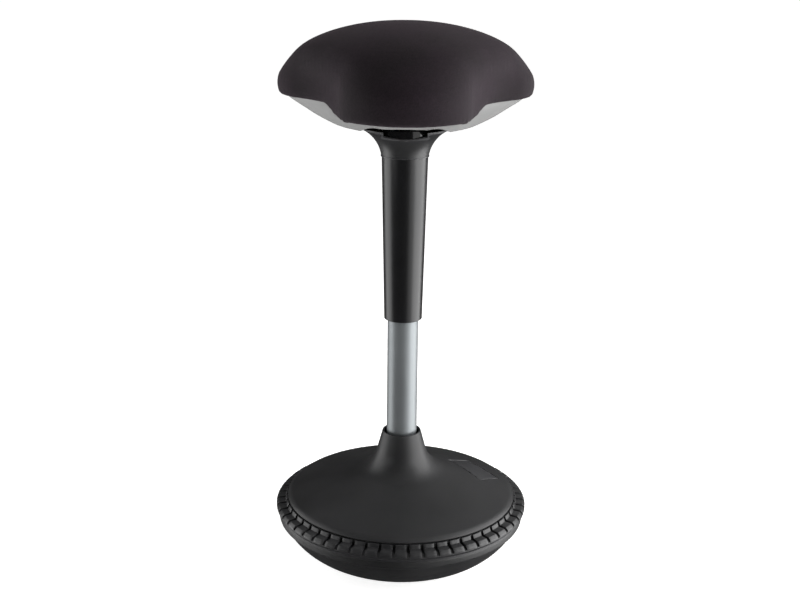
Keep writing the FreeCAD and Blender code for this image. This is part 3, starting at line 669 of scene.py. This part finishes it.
# Each screw sits in a well: a tube down to the pan's skin, and a hole drilled through the skin.
screw_reach = 135.0
screw_wells = [(0.0, 645.0), (120.0, 640.0), (240.0, 640.0)]
well_hole = 4.2
well_outer = 5.5
well_drop = 14.0
screw_hole = 2.1
drill_depth = 20.0
tube_sink = 1.2
drill = bmesh.new()
wells = bmesh.new()
for azimuth, top in screw_wells:
    middle = Vector((screw_reach * sin(radians(azimuth)), -screw_reach * cos(radians(azimuth)), 0)) * MM
    skin = min(pan_mesh.faces, key=lambda face: (face.calc_center_median() - middle).xy.length)
    drill_middle = middle + Vector((0, 0, (top + 2.0 - drill_depth / 2) * MM))
    bmesh.ops.create_cone(drill, cap_ends=True, segments=40, radius1=well_hole * MM, radius2=well_hole * MM,
                          depth=drill_depth * MM, matrix=Matrix.Translation(drill_middle))
    tube = lathe([(well_hole, top - well_drop), (well_outer, top - well_drop), (well_outer, top + 2.0),
                  (screw_hole, top + 2.0), (screw_hole, top), (well_hole, top)], 40)
    bmesh.ops.translate(tube, verts=tube.verts, vec=middle)
    tube_foot_point = skin.calc_center_median() - skin.normal * tube_sink * MM
    cut = bmesh.ops.bisect_plane(tube, geom=tube.verts[:] + tube.edges[:] + tube.faces[:],
                                 plane_co=tube_foot_point, plane_no=skin.normal, clear_outer=True)
    bmesh.ops.bridge_loops(tube, edges=[e for e in cut["geom_cut"] if isinstance(e, bmesh.types.BMEdge)])
    tube_data = bpy.data.meshes.new("well")
    tube.to_mesh(tube_data)
    tube.free()
    wells.from_mesh(tube_data)
bmesh.ops.recalc_face_normals(wells, faces=wells.faces)
drill_body = finished("drill", drill, pan_plastic)
pan_wells = finished("pan_screw_wells", wells, pan_plastic)
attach(pan_wells, "seat")

grey_pan = finished("grey_pan", pan_mesh, pan_plastic)
wall = grey_pan.modifiers.new("wall", "SOLIDIFY")
wall.thickness = pan_wall * MM
wall.offset = -1
drilled = grey_pan.modifiers.new("drilled", "BOOLEAN")
drilled.object = drill_body
applied(grey_pan)
bpy.data.objects.remove(drill_body)
edge = grey_pan.modifiers.new("edge", "BEVEL")
edge.width = 0.7 * MM
edge.segments = 2
edge.limit_method = "ANGLE"
edge.angle_limit = radians(60)
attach(grey_pan, "seat")
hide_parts("seat_pan")


# Cushion: moulded polyurethane foam under a stretched knitted cover, dark aubergine black. The cover is
# pulled over the edge of the board and stapled, so the edge rolls under.

cushion_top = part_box("seat_cover")[1].z / MM
cushion_wide = 676.0
nose_hem = 647.5
side_hem = 659.0
crown_mean = 166.0
crown_lobe = 12.0
side_slack = 1.6
crown_slack = 4.6


def hem_height(azimuth):
    """Height of the cushion's lower edge. It hangs low round the nose and steps up at each side of it."""
    away = abs(azimuth)
    sag = 1.5
    step = side_hem + sag - nose_hem
    return nose_hem - sag * smooth((away - 14.0) / 20.0) + step * smooth((away - 40.0) / 26.0)


def slack(climb):
    """How far the cloth starts inside its final place, in millimetres."""
    return side_slack + (crown_slack - side_slack) * smooth(sin(climb) / 0.4)


def crown_radius(azimuth, climb):
    """The hollows fill out as the sides climb, so the crown is smooth on top."""
    plan = plan_radius(azimuth)
    crown = crown_mean + crown_lobe * cos(radians(3 * azimuth))
    return (plan + smooth(sin(climb) / 0.6) * (crown - plan)) * cos(climb) - slack(climb)


cushion_mesh = bmesh.new()
rim = first_level(cushion_mesh, 144, lambda a: plan_radius(a) * 0.78, lambda a: 664.0)
bmesh.ops.contextual_create(cushion_mesh, geom=rim)
for tuck, lift in ((24.0, 0.0), (8.0, -1.5), (4.6, -1.2), (2.4, 1.5), (1.0, 6.0), (0.2, 11.0)):
    rim = next_level(cushion_mesh, rim, lambda a: plan_radius(a) - tuck - side_slack,
                     lambda a: hem_height(a) + lift)
for climb in [radians(88.0 * step / 15) for step in range(16)]:
    rim = next_level(cushion_mesh, rim, lambda a: crown_radius(a, climb),
                     lambda a: cushion_wide + (cushion_top - slack(climb) - cushion_wide) * sin(climb))
bmesh.ops.contextual_create(cushion_mesh, geom=rim)
bmesh.ops.recalc_face_normals(cushion_mesh, faces=cushion_mesh.faces)


def knitted(name, dark, light, stitch):
    """Fine weft knit, a little uneven in colour, with painted shade in the gaps between its stitches and a
    soft sheen. The stitch is in millimetres.
    """
    finish = bpy.data.materials.new(name)
    finish.use_nodes = True
    tree = finish.node_tree
    shader = tree.nodes["Principled BSDF"]
    shader.inputs["Roughness"].default_value = 0.85
    shader.inputs["Specular IOR Level"].default_value = 0.2
    shader.inputs["Sheen Weight"].default_value = 0.07
    shader.inputs["Sheen Roughness"].default_value = 0.45
    shader.inputs["Sheen Tint"].default_value = linear("#c8b4c0")
    place = add(tree, "TexCoord", {})
    cloud = add(tree, "TexNoise", {"Vector": place.outputs["Object"], "Scale": 1 / (70 * MM), "Detail": 3.0})
    tint = add(tree, "ValToRGB", {"Fac": cloud.outputs["Fac"]})
    tint.color_ramp.elements[0].position = 0.3
    tint.color_ramp.elements[0].color = linear(dark)
    tint.color_ramp.elements[1].position = 0.7
    tint.color_ramp.elements[1].color = linear(light)
    thread = add(tree, "TexVoronoi", {"Vector": place.outputs["Object"], "Scale": 1 / (stitch * MM)})
    # Painted light and shade: the colour is scaled up to 1.15 at each stitch's middle and down to 0.7 in the
    # gaps between stitches.
    shade = add(tree, "MapRange", {"Value": thread.outputs["Distance"], "From Min": 0.2, "From Max": 0.8,
                                   "To Min": 1.15, "To Max": 0.7})
    yarn_with_painted_shade = add(tree, "VectorMath", {0: tint.outputs["Color"], "Scale": shade.outputs["Result"]},
               operation="SCALE")
    tree.links.new(yarn_with_painted_shade.outputs["Vector"], shader.inputs["Base Color"])
    bump = add(tree, "Bump", {"Height": thread.outputs["Distance"], "Strength": 0.6, "Distance": 0.25 * MM})
    tree.links.new(bump.outputs["Normal"], shader.inputs["Normal"])
    return finish


# Cover: polyester knit with painted shade in the gaps between the stitches, painted light on their middles,
# and a soft sheen where it turns away.
cushion_knit = knitted("aubergine-black knit", "#150f13", "#1c131a", 1.3)
cushion = finished("cushion", cushion_mesh, cushion_knit, crease=80)


remesh = cushion.modifiers.new("even", "REMESH")
remesh.mode = "VOXEL"
remesh.voxel_size = 5 * MM
remesh.use_smooth_shade = True
applied(cushion)


def puff(thing, pressure, reach, steps=20, evening=16):
    """Swells the closed mesh as cloth under pressure. The foam evens out the swelling and keeps the cloth
    from sinking in, the staples hold its edge, and no point moves further than reach."""
    cloth = thing.modifiers.new("cloth", "CLOTH")
    cloth.settings.use_pressure = True
    cloth.settings.uniform_pressure_force = pressure
    cloth.settings.effector_weights.gravity = 0
    scene = bpy.context.scene
    for moment in range(1, steps + 1):
        scene.frame_set(moment)
    shape = thing.evaluated_get(bpy.context.evaluated_depsgraph_get())
    verts = thing.data.vertices
    swell = [(there.co - here.co).dot(here.normal) for here, there in zip(verts, shape.data.vertices)]
    above_hem = [vert.co.z / MM - hem_height(azimuth_of(vert.co)) for vert in verts]
    swell = [min(max(amount, 0.0), reach) * smooth((height - 3.0) / 14.0)
             for amount, height in zip(swell, above_hem)]
    thing.modifiers.clear()
    scene.frame_set(1)
    near = [[] for vert in verts]
    for edge in thing.data.edges:
        first, second = edge.vertices
        near[first].append(second)
        near[second].append(first)
    for _ in range(evening):
        swell = [(swell[i] + sum(swell[j] for j in near[i]) / len(near[i])) / 2 for i in range(len(swell))]
    for vert, amount, normal in zip(verts, swell, [vert.normal.copy() for vert in verts]):
        vert.co += normal * amount


puff(cushion, pressure=4.0, reach=6 * MM)
finer = cushion.modifiers.new("finer", "SUBSURF")
finer.levels = finer.render_levels = 1
applied(cushion)
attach(cushion, "seat")
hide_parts("seat_cover", "seat_foam")


# Inner works and small metal: plated, coated, cast, drawn and turned parts that show only from below, through
# the window, or when the stool is taken apart.

# Plated screws and pins, coated plates, the cast ballast, ground bearing parts, acetal guides and the rest.
zinc = moulded("bright zinc plate", "#a8a9a6", "#b9bab7", 0.32, grain=0.4, depth=0.004, patch=6.0,
               metallic=1.0)
powder = moulded("black powder coat", "#17171a", "#1e1e20", 0.48, grain=0.5, depth=0.02)
iron = moulded("painted cast iron", "#1f1f20", "#2b2b2b", 0.62, grain=1.6, depth=0.12)
ground = moulded("ground bearing steel", "#b4b5b6", "#c2c3c4", 0.18, grain=0.3, depth=0.002, patch=5.0,
                 metallic=1.0)
acetal = moulded("natural acetal", "#dcdad2", "#e6e4dc", 0.42, grain=0.8, depth=0.01)
lacquer = moulded("black cylinder lacquer", "#0e0e0f", "#131315", 0.28, grain=0.5, depth=0.004)
chrome = moulded("hard chrome", "#c8c9cb", "#d2d3d5", 0.10, grain=0.3, depth=0.001, patch=8.0, metallic=1.0,
                 spread=0.02)
buffer_rubber = moulded("bump-stop rubber", "#161616", "#1e1e1e", 0.60, grain=1.0, depth=0.03)
brass = moulded("turned brass", "#b08a4a", "#c09a58", 0.25, grain=0.3, depth=0.003, patch=6.0, metallic=1.0)
gloss_black = moulded("gloss black ABS", "#070708", "#0a0a0b", 0.10, grain=2.0, depth=0.002, spread=0.03)
birch = moulded("raw birch ply", "#c9a878", "#dbbd90", 0.62, grain=1.5, depth=0.05, patch=12.0)

finishes = {
    zinc: ["foot_screws", "cover_screws", "socket_bolts", "socket_washers", "rod_clip", "clip_washer",
           "piston_nut", "collar_screws", "pivot_pin", "trigger_spring", "t_nuts", "bracket_bolts",
           "bracket_washers", "pan_screws"],
    powder: ["base_plate", "column_socket", "tube_end_cap", "seat_bracket", "taper_socket", "pivot_ears"],
    iron: ["ballast_weight"],
    ground: ["lower_race", "upper_race", "bearing_balls", "valve_button"],
    acetal: ["guide_bushing", "bearing_cage", "piston", "rod_guide", "glide_ring"],
    lacquer: ["gas_cylinder"],
    chrome: ["piston_rod"],
    buffer_rubber: ["travel_bumper", "piston_ring"],
    brass: ["valve_body"],
    gloss_black: ["release_trigger"],
    birch: ["seat_board"],
}
for finish, names in finishes.items():
    for name in names:
        nodes[name].data.materials.clear()
        nodes[name].data.materials.append(finish)
